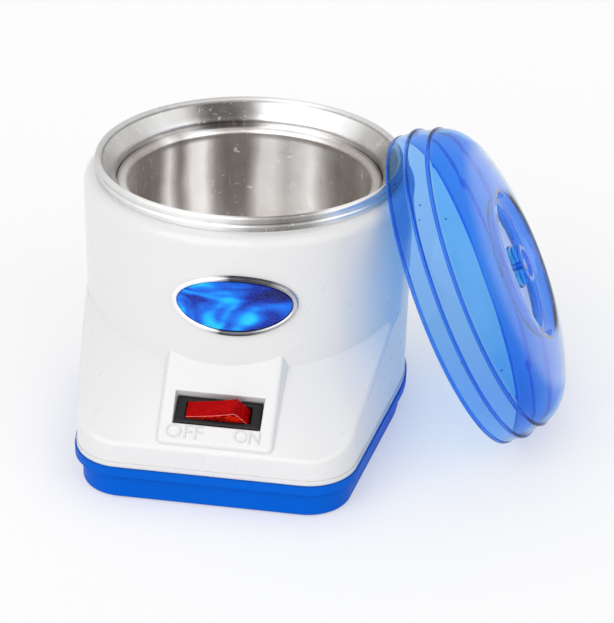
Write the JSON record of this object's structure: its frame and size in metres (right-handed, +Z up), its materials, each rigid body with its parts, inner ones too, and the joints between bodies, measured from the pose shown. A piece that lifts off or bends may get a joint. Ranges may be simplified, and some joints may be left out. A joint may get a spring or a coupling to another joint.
{
  "type": "wax melter",
  "caption": "Electric wax melter with a round metal pot in a white housing on a blue tray, a clear red rocker switch and a clear blue lid leaning at its side.",
  "frame": {"origin": "on the table under the centre of the pot, in the middle of the face of the tray's centre plinth", "axes": "+Z up along the pot's axis, -Y to the front where the switch is, +X to the side where the lid leans"},
  "size_m": [0.212, 0.1818, 0.1301],
  "materials": {
    "white_plastic": "glossy moulded white",
    "blue_plastic": "glossy moulded blue",
    "lid_blue": "clear blue, polished",
    "spun_aluminium": "spun, lightly brushed",
    "sheet_aluminium": "mill finish",
    "cast_aluminium": "machined casting",
    "zinc_steel": "zinc plated",
    "black_rubber": "matt",
    "silicone": "soft translucent white",
    "badge_chrome": "bright plated",
    "badge_foil": "blue foil under clear resin",
    "black_nylon": "satin black",
    "red_lens": "clear red",
    "mica": "pressed mica board",
    "fibre_wool": "white fibre blanket",
    "brass": "bright",
    "cream_nylon": "natural nylon",
    "white_ceramic": "glazed sleeve",
    "lamp_glass": "clear",
    "wire_red": "extruded insulation",
    "wire_black": "extruded insulation",
    "wire_green": "extruded insulation",
    "wire_white": "glass-fibre sleeving"
  },
  "bodies": {
    "heater": {"badge_frame": "badge_chrome", "badge_plate": "badge_foil", "base_tray": "blue_plastic", "bridge_screws": "zinc_steel", "clamp_plate": "zinc_steel", "collar_gasket": "silicone", "cord_bush": "black_rubber", "fuse_saddle": "zinc_steel", "heat_shield": "sheet_aluminium", "heater_plate": "cast_aluminium", "heating_element": "mica", "housing_shell": "white_plastic", "indicator_lamp": "lamp_glass", "insulation_sleeve": "fibre_wool", "mica_sheet": "mica", "pot_stud": "zinc_steel", "rim_collar": "spun_aluminium", "rocker_pin": "zinc_steel", "rubber_feet": "black_rubber", "spade_sockets": "brass", "stud_nut": "zinc_steel", "stud_spacer": "zinc_steel", "stud_washer": "zinc_steel", "support_bridge": "zinc_steel", "switch_blades": "brass", "switch_frame": "black_nylon", "terminal_block": "cream_nylon", "terminal_screws": "brass", "thermal_fuse": "white_ceramic", "thermostat_blades": "brass", "thermostat_body": "black_nylon", "thermostat_cap": "sheet_aluminium", "tray_screws": "zinc_steel", "wax_pot": "spun_aluminium", "wire_earth": "wire_green", "wire_element": "wire_white", "wire_fuse": "wire_white", "wire_lamp": "wire_black", "wire_live": "wire_red", "wire_neutral": "wire_black", "wire_switch": "wire_red"},
    "rocker": {"switch_rocker": "red_lens"},
    "lid": {"lid_shell": "lid_blue", "lid_knob": "lid_blue", "lid_knob_screw": "zinc_steel"}
  },
  "joints": [
    {"name": "rocker_press", "type": "hinge", "parent": "heater", "child": "rocker", "pos_m": [0.0023, -0.08013, 0.0359], "axis": [0, 0.8387, 0.5446], "range_deg": [0, 36]},
    {"name": "lid_lift", "type": "hinge", "parent": "heater", "child": "lid", "pos_m": [-0.0029, 0, 0.01765], "axis": [0, -1, 0], "range_deg": [0, 62.8]}
  ]
}
